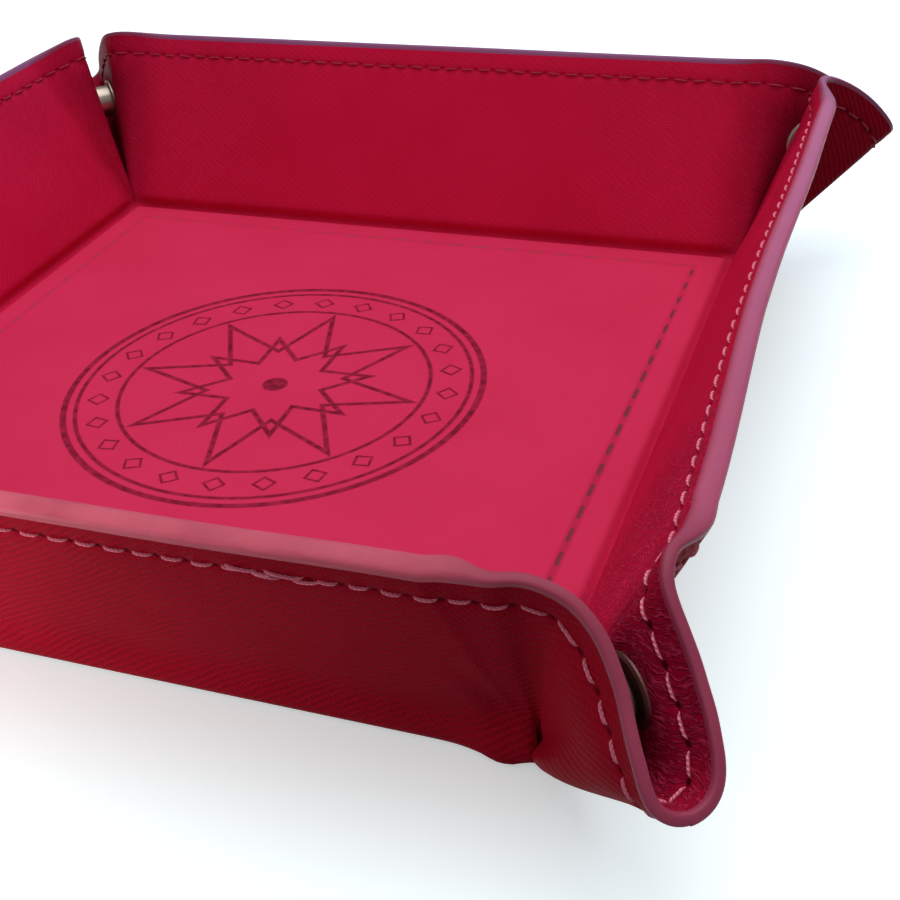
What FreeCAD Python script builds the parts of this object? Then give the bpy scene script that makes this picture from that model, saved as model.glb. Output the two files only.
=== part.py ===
import FreeCAD
import Part
import math
import os

from FreeCAD import Vector

# A square tray made from one stitched sheet: a cover and a lining with a stiff
# board between them under the base and under each wall. The four walls stand up,
# and at each corner the sheet is pinched into an outward ear that a snap holds.
# Undone, the whole sheet lies flat.
# Lengths are millimetres and angles degrees. X is right, Y is back, Z is up.
# The origin is the middle of the underside.

# The sheet
fold_span = 148.6        # between opposite fold lines, at the middle of the thickness
wall_height = 41.4       # from a fold line to the sheet's edge, along the wall
corner_radius = 40.0     # rounding of the sheet's corners
cover_thickness = 0.8
board_thickness = 1.5
lining_thickness = 0.8

# The folds between base and walls
lean_angle = 23.5        # outwards from upright
board_setback = 3.0      # from a fold line to the boards beside it
closing_run = 4.0        # over which the leather closes past a wall board's end
fold_radius = 2.2        # of the bend, at the middle of the thickness

# The ears, as angles round a base corner, counted along the wall from its end
neck_angle = 12.0        # the wall's end, free of board
neck_turn_angle = 21.0   # how far it swings in towards the ear
bend_angle = 16.0
flap_angle = 25.0
loop_angle = 9.0
flat_half_angle = 45.0   # what one half of an ear covers when it lies flat
strip_angle = 8.0        # most that one strip of a curved stretch turns from the next
root_start = 5.0         # where the ear's leather begins, from the base corner
root_reach = 10.0        # up to here its two halves are pressed together
pinch_gap = 0.1          # left between the two halves of an ear
root_gap = 0.1           # between the pressed root and the flap

# The snaps
snap_reach = 28.0        # from the base corner, along the flap
snap_place_angle = 26.5  # round the base corner, counted as the ear's angles are
snap_sink = 0.25         # how far the flange beds in past the flap's surface
flange_radius = 4.8
flange_thickness = 0.6
housing_radius = 3.7
housing_bevel = 0.7
cavity_radius = 2.25
cavity_depth = 2.5
stud_radius = 1.65
head_radius = 1.95
head_length = 0.8
neck_length = 1.0
mating_gap = 0.1         # between the socket's face and the stud's flange
seat_clearance = 0.1

# Sizes that follow
half_span = fold_span / 2
leather_thickness = cover_thickness + lining_thickness
wall_thickness = leather_thickness + board_thickness
half_wall = wall_thickness / 2
half_leather = leather_thickness / 2
fold_angle = 90.0 - lean_angle
ear_angle = bend_angle + flap_angle + loop_angle
neck_end = 0.0
bend_end = bend_angle
flap_end = bend_angle + flap_angle
neck_reach = wall_height / math.cos(math.radians(neck_angle))
ear_reach = (wall_height - corner_radius) * math.sqrt(2) + corner_radius
corner = Vector(half_span, -half_span, half_wall)
diagonal = Vector(1, 1, 0).normalize()
up = Vector(0, 0, 1)
origin = Vector(0, 0, 0)


def save(name, shape):
    shape.exportStep(os.path.join("parts", name + ".step"))


def prism(points, along):
    return Part.Face(Part.makePolygon(points + points[:1])).extrude(along)


def turned(shape, quarters):
    copy = shape.copy()
    copy.rotate(origin, up, 90 * quarters)
    return copy


def mirrored(shape):
    return shape.mirror(origin, Vector(1, 0, 0))


def keep_behind(shape, point, normal):
    size = 4 * (fold_span + wall_height)
    block = Part.makeBox(size, size, size, Vector(-size / 2, -size / 2, 0))
    block.Placement = FreeCAD.Placement(point, FreeCAD.Rotation(up, normal))
    return shape.cut(block)


def walk(frame, span, turn):
    # Moves round the corner along the sheet by span, while the sheet turns by turn.
    if span == 0:
        return frame
    pointer, heading, normal = frame
    rate = turn / span
    axis = normal + pointer * rate
    spin = FreeCAD.Rotation(axis, span * math.sqrt(1 + rate * rate))
    return tuple(spin.multVec(v) for v in frame)


def wall_end_frame():
    lean = math.radians(lean_angle)
    pointer = Vector(0, -math.sin(lean), math.cos(lean))
    heading = Vector(1, 0, 0)
    return walk((pointer, heading, pointer.cross(heading)), -neck_angle, 0)


def ear_frame(angle, bend_turn, loop_turn):
    # pointer runs from the base corner up the sheet, heading on along the sheet,
    # and normal to the lining's side.
    stretches = [(neck_angle, neck_turn_angle), (bend_angle, -bend_turn),
                 (flap_angle, 0), (loop_angle, loop_turn)]
    frame = wall_end_frame()
    left = angle + neck_angle
    for span, turn in stretches:
        step = min(span, left)
        if step <= 0:
            break
        frame = walk(frame, step, turn * step / span)
        left -= step
    return frame


def ear_misses(turns):
    # Off the ear's middle plane, and off square to it.
    pointer, heading, normal = ear_frame(ear_angle, *turns)
    return pointer.dot(diagonal), heading.cross(diagonal).dot(pointer)


def close_ear():
    # The turns of bend and loop that bring the sheet's ridge square onto the
    # ear's middle plane, by Newton's steps.
    turns = [70.0, 85.0]
    nudge = 0.01
    for attempt in range(30):
        a, b = ear_misses(turns)
        a1, b1 = ear_misses([turns[0] + nudge, turns[1]])
        a2, b2 = ear_misses([turns[0], turns[1] + nudge])
        aa, ab = (a1 - a) / nudge, (a2 - a) / nudge
        ba, bb = (b1 - b) / nudge, (b2 - b) / nudge
        whole = aa * bb - ab * ba
        turns[0] -= (a * bb - b * ab) / whole
        turns[1] -= (b * aa - a * ba) / whole
    return turns


ear_turns = close_ear()


def sheet_point(angle, along, off):
    pointer, heading, normal = ear_frame(angle, *ear_turns)
    return corner + pointer * along + normal * off


def rolled(first, span, turn, start, far):
    # One stretch of the ear that curves evenly: part of a cone round the base
    # corner, laid out as flat strips between lines that point at the corner.
    steps = math.ceil(turn / strip_angle)
    angles = [first + span * i / steps for i in range(steps + 1)]
    rings = [[sheet_point(angle, along, off) for along, off in
              [(start, -half_leather), (far, -half_leather),
               (far, half_leather), (start, half_leather)]] for angle in angles]
    outlines = [rings[0], rings[-1]]
    for ring, after in zip(rings, rings[1:]):
        for i in range(4):
            outlines.append([ring[i - 1], ring[i], after[i], after[i - 1]])
    faces = [Part.Face(Part.makePolygon(points + points[:1])) for points in outlines]
    shell = Part.makeShell(faces)
    shell.sewShape()
    solid = Part.makeSolid(shell)
    return solid


def rounded_reach(angle):
    # From the base corner to the sheet's rounded edge.
    flat = math.radians(angle * flat_half_angle / ear_angle)
    centre = wall_height - corner_radius
    along = centre * (math.sin(flat) + math.cos(flat))
    return along + math.sqrt(along ** 2 - 2 * centre ** 2 + corner_radius ** 2)


def trimmed_to_half(shape):
    middle = corner - diagonal * (pinch_gap / 2)
    return keep_behind(shape, middle, diagonal)


def flat_stretch(start, edge):
    # The ear's flat stretch from the distance start to the given outer edge.
    low = -half_leather
    near = [sheet_point(angle, start, low) for angle in (flap_end, bend_end)]
    outline = [edge, Part.makeLine(edge.Vertexes[-1].Point, near[0]),
               Part.makeLine(near[0], near[1]),
               Part.makeLine(near[1], edge.Vertexes[0].Point)]
    normal = ear_frame(bend_end, *ear_turns)[2]
    return Part.Face(Part.Wire(outline)).extrude(normal * leather_thickness)


def make_neck():
    return rolled(-neck_angle, neck_angle, neck_turn_angle, root_start, neck_reach)


def make_bend():
    bend = rolled(neck_end, bend_angle, ear_turns[0], root_start, neck_reach)
    far = root_reach - root_gap
    edge = Part.makeLine(sheet_point(bend_end, far, -half_leather),
                         sheet_point(flap_end, far, -half_leather))
    root = flat_stretch(root_start, edge)
    return bend, root


def make_loop():
    loop = rolled(flap_end, loop_angle, ear_turns[1], root_reach, ear_reach)
    return trimmed_to_half(loop)


# Where a snap sits: its axis runs square to the ear's middle plane.
flap_axis = ear_frame(snap_place_angle, *ear_turns)[0]
snap_middle = corner + flap_axis * snap_reach
flap_offset = -(snap_middle - corner).dot(diagonal)
seat_offset = flap_offset - half_leather + snap_sink
seat = snap_middle + diagonal * (flap_offset - seat_offset)
between_seats = 2 * seat_offset


def lathe(profile):
    # Turns a profile of radius and distance from the seat round the snap's axis.
    across = flap_axis.cross(diagonal).normalize()
    points = [seat + across * radius + diagonal * along for radius, along in profile]
    face = Part.Face(Part.makePolygon(points + points[:1]))
    return face.revolve(seat, diagonal, 360)


def flange_profile():
    bevel = flange_thickness / 2
    return [(0, 0), (flange_radius, 0), (flange_radius, bevel),
            (flange_radius - bevel, flange_thickness)]


def make_socket():
    face = between_seats - flange_thickness - mating_gap
    floor = face - cavity_depth
    return lathe(flange_profile() + [
        (housing_radius, flange_thickness), (housing_radius, face - housing_bevel),
        (housing_radius - housing_bevel, face), (cavity_radius, face),
        (cavity_radius, floor), (0, floor)])


def make_stud():
    shoulder = flange_thickness + neck_length
    crown = shoulder + head_length
    lead = head_radius - stud_radius
    return lathe(flange_profile() + [
        (stud_radius, flange_thickness), (stud_radius, shoulder),
        (head_radius, shoulder + lead), (head_radius, crown - lead),
        (stud_radius, crown), (0, crown)])


def make_flap():
    middle = (bend_end + flap_end) / 2
    ends = [(bend_end, neck_reach), (middle, rounded_reach(middle)), (flap_end, ear_reach)]
    edge = Part.Arc(*[sheet_point(angle, far, -half_leather) for angle, far in ends])
    flap = flat_stretch(root_reach, edge.toShape())
    bed = flange_radius + seat_clearance
    return flap.cut(lathe([(0, 0), (bed, 0), (bed, half_wall), (0, half_wall)]))


def lying(along, out, off):
    # A point of the front wall before it is folded up.
    return Vector(along, -half_span - out, half_wall + off)


def wall_outline(setback, out):
    # Half the wall's length at a distance from the fold line, less a setback from
    # its end, which points at the base corner.
    slope = math.radians(neck_angle)
    return half_span - out * math.tan(slope) - setback / math.cos(slope)


def wall_panel(low, high):
    near = wall_outline(closing_run, board_setback)
    far = wall_outline(closing_run, wall_height)
    points = [lying(-near, board_setback, low), lying(near, board_setback, low),
              lying(far, wall_height, low), lying(-far, wall_height, low)]
    return prism(points, Vector(0, 0, high - low))


def closing_end(low, high, shift):
    # Past the board's end the layer slopes to the middle of the sheet.
    slope = math.radians(neck_angle)
    long = 2 * wall_height
    run = Vector(math.sin(slope), math.cos(slope), 0) * long
    across = Vector(math.cos(slope), -math.sin(slope), 0) * closing_run
    end = lying(half_span, 0, 0) - run / 2
    offsets = [(-1, low), (0, low + shift), (0, high + shift), (-1, high)]
    bar = prism([end + across * step + up * off for step, off in offsets], run)
    near = [wall_outline(setback, board_setback) for setback in (closing_run, 0)]
    far = [wall_outline(setback, wall_height) for setback in (0, closing_run)]
    strip = prism([lying(near[0], board_setback, -half_wall),
                   lying(near[1], board_setback, -half_wall),
                   lying(far[0], wall_height, -half_wall),
                   lying(far[1], wall_height, -half_wall)], up * wall_thickness)
    return bar.common(strip)


def folded_up(layer):
    layer.rotate(Vector(0, -half_span, half_wall), Vector(1, 0, 0), -fold_angle)
    return layer


def wall_leather(low, high, shift):
    end = closing_end(low, high, shift)
    layer = wall_panel(low, high).fuse([end, mirrored(end)])
    return folded_up(layer.removeSplitter())


def make_crease():
    # The leather's section across the fold. The cover runs smoothly round the
    # outside, and the lining dips into the gap between the boards to meet it.
    bent = math.radians(fold_angle)
    tangent = fold_radius * math.tan(bent / 2)
    fold = Vector(-half_span, -half_span, half_wall)
    inward = Vector(0, 1, 0)
    wall_up = Vector(0, -math.cos(bent), math.sin(bent))
    wall_in = Vector(0, math.sin(bent), math.cos(bent))
    centre = fold + inward * tangent + up * fold_radius
    half_way = (fold - centre).normalize()

    def side(at_boards, at_fold):
        base_edge = fold + inward * board_setback + up * at_boards
        base_bend = fold + inward * tangent + up * at_fold
        middle = centre + half_way * (fold_radius - at_fold)
        wall_bend = fold + wall_up * tangent + wall_in * at_fold
        wall_edge = fold + wall_up * board_setback + wall_in * at_boards
        return [Part.LineSegment(base_edge, base_bend).toShape(),
                Part.Arc(base_bend, middle, wall_bend).toShape(),
                Part.LineSegment(wall_bend, wall_edge).toShape()], base_edge, wall_edge

    lining_side, base_in, wall_in_edge = side(half_wall, leather_thickness - half_wall)
    cover_side, base_out, wall_out_edge = side(-half_wall, -half_wall)
    ends = [Part.LineSegment(base_in, base_out).toShape(),
            Part.LineSegment(wall_in_edge, wall_out_edge).toShape()]
    outline = Part.Wire(Part.__sortEdges__(lining_side + cover_side + ends))
    strip = Part.Face(outline).extrude(Vector(fold_span, 0, 0))
    neck = wall_end_frame()[1]
    for mirror in (1, -1):
        point = Vector(corner.x * mirror, corner.y, corner.z)
        strip = keep_behind(strip, point, Vector(diagonal.x * mirror, diagonal.y, 0))
        strip = keep_behind(strip, point, Vector(neck.x * mirror, neck.y, neck.z))
    return strip


def base_layer(low, thickness):
    side = fold_span - 2 * board_setback
    return Part.makeBox(side, side, thickness, Vector(-side / 2, -side / 2, low))


os.makedirs("parts", exist_ok=True)

# Base
save("base_cover", base_layer(0, cover_thickness))
save("base_board", base_layer(cover_thickness, board_thickness))
save("base_lining", base_layer(cover_thickness + board_thickness, lining_thickness))

# Walls and the folds under them
board_low = cover_thickness - half_wall
board_high = board_low + board_thickness
cover = wall_leather(-half_wall, board_low, -board_low)
board = folded_up(wall_panel(board_low, board_high))
lining = wall_leather(board_high, half_wall, -board_high)
crease = make_crease()
walls = ["front", "right", "back", "left"]
for quarters, wall in enumerate(walls):
    save(wall + "_wall_cover", turned(cover, quarters))
    save(wall + "_wall_board", turned(board, quarters))
    save(wall + "_wall_lining", turned(lining, quarters))
    save(wall + "_crease", turned(crease, quarters))

# Half an ear at each end of each wall; an ear's socket is on its front or back wall
bend, root = make_bend()
leather = trimmed_to_half(make_neck().fuse(bend))
ear = {"bend": Part.makeCompound([leather, trimmed_to_half(root)]),
       "flap": make_flap(), "loop": make_loop()}
snaps = {"snap_socket": make_socket(), "snap_stud": make_stud()}
for quarters, wall in enumerate(walls):
    pieces = dict(ear)
    snap = "snap_socket" if quarters % 2 == 0 else "snap_stud"
    pieces[snap] = snaps[snap]
    after = walls[(quarters + 1) % 4]
    before = walls[(quarters + 3) % 4]
    for name, shape in pieces.items():
        save(wall + "_" + after + "_" + name, turned(shape, quarters))
        save(wall + "_" + before + "_" + name, turned(mirrored(shape), quarters))

print("bend turn %.2f, loop turn %.2f" % tuple(ear_turns))
print("snap halves meet over %.2f mm" % between_seats)
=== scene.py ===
import math
import random

import bpy
import numpy as np
from mathutils import Matrix, Vector


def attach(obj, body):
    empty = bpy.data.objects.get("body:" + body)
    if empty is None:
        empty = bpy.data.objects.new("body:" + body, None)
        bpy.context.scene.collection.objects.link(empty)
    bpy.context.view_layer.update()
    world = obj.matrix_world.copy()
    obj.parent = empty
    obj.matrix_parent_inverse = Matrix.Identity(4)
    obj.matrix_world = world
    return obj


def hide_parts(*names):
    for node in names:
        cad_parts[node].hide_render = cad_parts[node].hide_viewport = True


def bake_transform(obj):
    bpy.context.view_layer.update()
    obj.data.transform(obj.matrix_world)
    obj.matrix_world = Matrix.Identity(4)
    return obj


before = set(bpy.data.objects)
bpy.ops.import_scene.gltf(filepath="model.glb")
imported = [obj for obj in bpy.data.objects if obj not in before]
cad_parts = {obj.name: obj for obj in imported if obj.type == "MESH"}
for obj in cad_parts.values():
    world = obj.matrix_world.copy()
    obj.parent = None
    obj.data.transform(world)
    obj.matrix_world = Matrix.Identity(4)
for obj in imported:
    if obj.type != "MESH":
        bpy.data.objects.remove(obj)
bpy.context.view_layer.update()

scene = bpy.context.scene
scene.view_settings.view_transform = "Standard"

MM = 0.001

# The sheet, in millimetres, as in the CAD source
half_span = 74.3
wall_height = 41.4
corner_radius = 40.0
board_setback = 3.0
half_wall = 1.55
half_leather = 0.8
lean = math.radians(23.5)
fold_turn = math.pi / 2 - lean
fold_radius = 2.2
fold_tangent = fold_radius * math.tan(fold_turn / 2)
arc_centre = wall_height - corner_radius

# The ears, in degrees round a base corner
neck_start = -12.0
neck_turn = 21.0
ridge = 50.0
piece_split = 24.0
flat_share = 45.0 / ridge
neck_flat = math.radians(neck_start)

# Where the sheet bends round a base corner: angles, and the share of the bend there
neck_bend = ([-12, -8, -2, 2], [0, 1, 1, 0])
neck_spread = 10
hollow_bend = ([-2, 3, 13, 18], [0, 1, 1, 0])
ridge_bend = ([37, 43, 50], [0, 1, 1])

# Sewing
stitch_pitch = 4.0
stitch_inset = 4.75
stitch_length = 3.2
stitch_width = 0.36
hem = wall_height - 8.0
hem_stitches = 26
seam_place = 66.4
edge_coat = 0.25

quarter_names = ["front", "right", "back", "left"]
rng = random.Random(7)


# ---- the ear's shape: the sheet's directions at each angle round the corner ----

def spin(axis, angle, v):
    cos, sin = math.cos(angle), math.sin(angle)
    return v * cos + np.cross(axis, v) * sin + axis * (axis @ v) * (1 - cos)


def bending(angles, bend, loop):
    # How fast the sheet turns at each angle, in degrees per degree.
    neck = np.interp(angles, *neck_bend) * neck_turn / neck_spread
    hollow = np.interp(angles, *hollow_bend)
    return neck - bend * hollow + loop * np.interp(angles, *ridge_bend)


ear_step = 0.1
ear_angles = np.arange(neck_start, ridge + ear_step / 2, ear_step)
# Square to the plane that halves the front right corner
diagonal = np.array([1.0, 1.0, 0.0]) / math.sqrt(2)
first_turns = [4.6, 8.6]
closing_rounds = 6


def ear_frames(bend, loop):
    # From the base corner outwards, along the turn and square to the sheet, at each
    # of the ear's angles.
    pointer = np.array([0, -math.sin(lean), math.cos(lean)])
    heading = np.array([1.0, 0, 0])
    normal = np.cross(pointer, heading)
    rows = [[spin(normal, neck_flat, v) for v in (pointer, heading, normal)]]
    rates = bending(ear_angles[:-1] + ear_step / 2, bend, loop)
    step = math.radians(ear_step)
    for rate in rates:
        axis = rows[-1][2] + rows[-1][0] * rate
        size = np.linalg.norm(axis)
        rows.append([spin(axis / size, step * size, v) for v in rows[-1]])
    return np.array(rows)


def close_ear():
    # How much the hollow and the ridge bend, so that the ridge lies in the plane
    # that halves the corner and the sheet crosses that plane squarely.
    turns = np.array(first_turns)
    nudge = 0.01

    def miss(values):
        pointer, heading, _ = ear_frames(*values)[-1]
        return np.array([pointer @ diagonal, np.cross(heading, diagonal) @ pointer])

    for _ in range(closing_rounds):
        now = miss(turns)
        slope = np.array([(miss(turns + [nudge, 0]) - now) / nudge,
                          (miss(turns + [0, nudge]) - now) / nudge]).T
        turns = turns - np.linalg.solve(slope, now)
    return turns


ear_turns = close_ear()
ear_table = ear_frames(*ear_turns)


def ear_frame(angle):
    place = (np.clip(angle, neck_start, ridge) - neck_start) / ear_step
    low = min(int(place), len(ear_table) - 2)
    mixed = ear_table[low] * (low + 1 - place) + ear_table[low + 1] * (place - low)
    return [v / np.linalg.norm(v) for v in mixed]


# ---- the flat sheet: distances on it, and where it goes ----

def rise(x, none, full):
    # Runs smoothly from zero at one place to one at another.
    x = min(max((x - none) / (full - none), 0.0), 1.0)
    return x * x * (3 - 2 * x)


def flat_angle(angle):
    # The ear's angle as it is on the flat sheet, in radians.
    return math.radians(angle * (flat_share if angle > 0 else 1))


def edge_place(x, out):
    # How far along the hem and in from the sheet's edge a point of it is.
    x = abs(x) - half_span
    if x <= arc_centre:
        return half_span + x, wall_height - out
    turn = math.atan2(x - arc_centre, max(out - arc_centre, 1e-6))
    along = half_span + arc_centre + (corner_radius - stitch_inset) * turn
    return along, corner_radius - math.hypot(x - arc_centre, out - arc_centre)


def hem_point(along, inset):
    # The other way: from the run along the hem to the flat sheet.
    turn = (along - half_span - arc_centre) / (corner_radius - stitch_inset)
    if turn <= 0:
        return along, wall_height - inset
    radius = corner_radius - inset
    return (half_span + arc_centre + radius * math.sin(turn),
            arc_centre + radius * math.cos(turn))


def reach(angle):
    # From the base corner to the sheet's edge, and the slope of the edge there.
    flat = flat_angle(angle)
    straight = wall_height / math.cos(flat)
    if straight * math.sin(flat) <= arc_centre:
        return straight, math.cos(flat)
    along = arc_centre * (math.sin(flat) + math.cos(flat))
    far = along + math.sqrt(along ** 2 - 2 * arc_centre ** 2 + corner_radius ** 2)
    x, out = far * math.sin(flat) - arc_centre, far * math.cos(flat) - arc_centre
    return far, (x * math.sin(flat) + out * math.cos(flat)) / corner_radius


slow_wave, quick_wave = 0.22, 0.12
wave_start = 14.0


def unevenness(x, y, out):
    # The leather is never quite true: slow and quicker waves, none at the folds.
    wave = slow_wave * math.sin(x / 21 + 1.3) * math.cos(y / 17 + 0.4)
    wave += quick_wave * math.sin(x / 8.3 + y / 9.1)
    return wave * rise(out, 0, wave_start)


# The walls don't stand alike. How far in from true each one's edge is, how much more
# that is at one end, which end, and where the change starts and ends
wall_settling = [(0.6, 1.2, 1, 5, 65), (-0.5, -2.2, -1, 15, 65),
                 (-1.4, 0, 1, 0, 1), (-0.5, 0, 1, 0, 1)]


def settle(x, out, quarters):
    # How far in from true the leather is, growing from the fold to the edge.
    edge, more, way, start, end = wall_settling[quarters]
    inward = edge + more * rise(way * x, start, end)
    return inward * out / wall_height


# The soft ears hang a little: how far in from true three of the halves stand at
# their edge, at these angles.
lean_angles = [-12, -8, -4, 0, 4, 8, 12, 18, 25, 33, 42, 50]
lean_in = {
    (0, False): [1.8, 2.4, 2.0, 0.4, 0.8, 1.1, 2.0, 3.0, 2.9, 1.7, 0.8, 0],
    (1, True): [-2.7, -3.0, -3.1, -3.0, -2.7, -2.5, -2.2, -2.2, -2.4, -2.0, -0.8, 0],
    (3, True): [-0.5, 0.2, 1.2, 2.2, 2.8, 2.9, 2.5, 1.7, 1.0, 0.5, 0.1, 0],
}
# The rows are rounded off by a bell this wide, in degrees, and brought back to
# their first value where the wall ends.
fine_step, bell_width = 0.5, 1.6
fine_angles = np.arange(-20, 58.1, fine_step)
bell = np.exp(-(np.arange(-8, 9) * fine_step / bell_width) ** 2 / 2)
for key, values in lean_in.items():
    row = np.interp(fine_angles, lean_angles, values)
    row = np.convolve(row, bell / bell.sum(), "same")
    missing = values[0] - np.interp(neck_start, fine_angles, row)
    lean_in[key] = row + missing * np.exp(-(fine_angles - neck_start) ** 2 / 8)

# How far the other ears lean in past their snap, and how far the front right ear
# has sunk, less what its snap holds, and drawn in
plain_lean = 0.6
sink, snap_hold, draw = 2.6, 0.6, 2.4


def hang(angle, r, quarters, mirror):
    # The inward shift of a half, then how far the point sinks and how far it draws
    # in to the corner. The snap holds the leather still around it.
    far = reach(angle)[0]
    beyond = rise(r, 30, 42)
    held = rise(angle, 8, 16) * rise(angle, ridge, 42)
    if (quarters, mirror) not in lean_in:
        x, out = half_span + r * math.sin(neck_flat), r * math.cos(neck_flat)
        shift = settle(-x if mirror else x, out, quarters) * rise(angle, 14, neck_start)
        lean_share = rise(angle, neck_start, 4) * rise(angle, 48, 30)
        return shift + plain_lean * beyond * lean_share, 0, 0
    share = r / far * (1 - held) + beyond * held
    shift = np.interp(angle, fine_angles, lean_in[quarters, mirror]) * share
    if quarters == 3:
        return shift, 0, 0
    share = r / far * (1 - snap_hold * held) + beyond * snap_hold * held
    sunk = sink * rise(angle, -5, 35) * share
    return shift, sunk, draw * rise(angle, 5, 30) * r / far


# The lump's height, how far out it stays full and how fast it fades
foot_height, foot_core, foot_fade = 2.3, 2.5, 5.0


def foot(x, out):
    # The cover stands out in a soft lump where the folds meet at a base corner.
    far = math.hypot(x - half_span, out)
    fade = math.exp(-(max(far - foot_core, 0) / foot_fade) ** 2)
    return foot_height * (0.5 + 0.5 * rise(far, 0, 3)) * fade


low_swell = 1.5


def cover_swell(x, out):
    # The cover is a little fuller near the table and eases into the wall. Under
    # the fold it lies on the table as far as there is room.
    turn = min(max(fold_turn * (out / fold_tangent + 1) / 2, 0), fold_turn)
    room = (fold_radius + half_wall) * (1 / math.cos(turn) - 1)
    swell = foot(x, out) * rise(out, -1.5, 0.7) + low_swell * rise(out, 9.6, 0.6)
    return swell / (1 + (swell / room) ** 3) ** (1 / 3) if room > 0 else 0


ridge_fullness = 2.4


def fullness(angle, r, quarters, mirror):
    # The front right ear is fuller along its ridge, over the cover only.
    if (quarters, mirror) not in ((0, False), (1, True)):
        return 0
    along = (0.3 + 0.7 * rise(r, 0, 5)) * rise(r, 40, 8)
    return ridge_fullness * along * rise(angle, piece_split, 46)


def stiff_end(out):
    # How much of its full thickness a wall keeps where its ear begins.
    return rise(out, 9, 23)


dip_width, groove_depth, hole_depth = 0.8, 0.12, 0.2


def sewn_dip(along, inset):
    # The thread draws the leather in, most at the needle holes.
    off = (inset - stitch_inset) / dip_width
    hole = 0.5 + 0.5 * math.cos(2 * math.pi * along / stitch_pitch)
    return math.exp(-off * off) * (groove_depth + hole_depth * hole ** 4)


def turned_xy(x, y, quarters):
    for _ in range(quarters):
        x, y = -y, x
    return x, y


def wall_offset(x, out, side):
    # From the middle of a wall to the face on one side. The cover is fuller low
    # down, the lining dips into the fold, and both close towards the wall's ends.
    slope = math.tan(neck_flat)
    from_end = (half_span + max(out, 0) * slope - abs(x)) * math.cos(math.atan(slope))
    full = half_wall
    swell = 0
    if side > 0:
        dip = 2 * half_leather - half_wall
        full = dip + (half_wall - dip) * rise(abs(out), 1.0, 2.9)
    else:
        swell = cover_swell(abs(x), out)
    raised = max(rise(from_end, 0, 5), rise(out, 0, -3), stiff_end(out))
    return half_leather + (full - half_leather) * raised + swell


def wall_point(x, out, side, off, quarters):
    # A point of the front wall, or of its fold where out is small.
    if out >= fold_tangent:
        middle = np.array([x, -half_span - out * math.sin(lean),
                           half_wall + out * math.cos(lean)])
        normal = np.array([0, math.cos(lean), math.sin(lean)])
    elif out <= -fold_tangent:
        middle = np.array([x, -half_span - out, half_wall])
        normal = np.array([0, 0, 1.0])
    else:
        turn = (out + fold_tangent) / (2 * fold_tangent) * fold_turn
        normal = np.array([0, math.sin(turn), math.cos(turn)])
        middle = np.array([x, -half_span + fold_tangent, half_wall + fold_radius])
        middle = middle - normal * fold_radius
    flat = turned_xy(x, -half_span - out, quarters)
    shift = off * side
    if out > 0:
        shift += unevenness(*flat, out) + settle(x, out, quarters)
    return middle + normal * shift, normal


def ear_thickness(angle, r):
    # From the middle to either face. The stiff wall ends just round the bend.
    share = stiff_end(r * math.cos(neck_flat)) * rise(angle, 2.4, -7.1)
    return half_leather + (half_wall - half_leather) * share


# The gap between the halves, the thinnest leather, and the share of the bend's
# radius that it may fill inside the ear and outside
squeeze_gap, squeeze_least = 0.03, 0.02
inner_fill, outer_fill = 0.9, 0.85


def squeezed(angle, r, side, normal, pointer):
    # From the middle to one face. Near the base corner the two halves of an ear
    # press together, so there the leather is thinner on the inside, and on either
    # side it is thinner than its bend.
    thick = ear_thickness(angle, r)
    if side > 0:
        limits = [thick]
        toward = normal @ diagonal
        room = -(pointer @ diagonal) * r
        if toward > 0.05:
            limits.append(max(room - squeeze_gap, squeeze_least) / toward)
        tight = bending(np.array([angle]), *ear_turns)[0]
        if tight > 0.5:
            limits.append(inner_fill * r / tight)
        return min(limits)
    flat = flat_angle(angle)
    swell = cover_swell(half_span + r * math.sin(flat), r * math.cos(flat))
    swell *= rise(angle, 10, -8)
    tight = -bending(np.array([angle]), *ear_turns)[0]
    if tight > 0.05:
        return min(thick + swell, outer_fill * r / tight)
    return thick + swell


def ear_point(angle, r, side, off, quarters, mirror):
    pointer, _, normal = ear_frame(angle)
    flat = flat_angle(angle)
    x = half_span + r * math.sin(flat)
    out = r * math.cos(flat)
    sheet = turned_xy(-x if mirror else x, -half_span - out, quarters)
    fade = rise(angle, 48, 30)
    inward, sunk, drawn = hang(angle, r, quarters, mirror)
    shift = off * side + unevenness(*sheet, out) * fade + inward
    corner = np.array([half_span, -half_span, half_wall - sunk])
    return corner + pointer * (r - drawn) + normal * shift, normal


def to_world(point, quarters, mirror):
    x, y, z = point
    if mirror:
        x = -x
    x, y = turned_xy(x, y, quarters)
    return Vector((x * MM, y * MM, z * MM))


def sheet_place(x, out, side, off, quarters, mirror):
    # Any point of a wall or its ears, from where it is on the flat sheet.
    flat = math.degrees(math.atan2(x - half_span, out))
    angle = flat if flat < 0 else flat / flat_share
    if angle < neck_start:
        off += wall_offset(x, out, side) - half_leather
        point, normal = wall_point(-x if mirror else x, out, side, off, quarters)
        if mirror:
            point, normal = point * [-1, 1, 1], normal * [-1, 1, 1]
        return point, normal, angle
    r = math.hypot(x - half_span, out)
    off += ear_thickness(angle, r) - half_leather
    point, normal = ear_point(angle, r, side, off, quarters, mirror)
    return point, normal, angle


# ---- meshes ----

LINING, COVER, EDGE = 0, 1, 2

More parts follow.
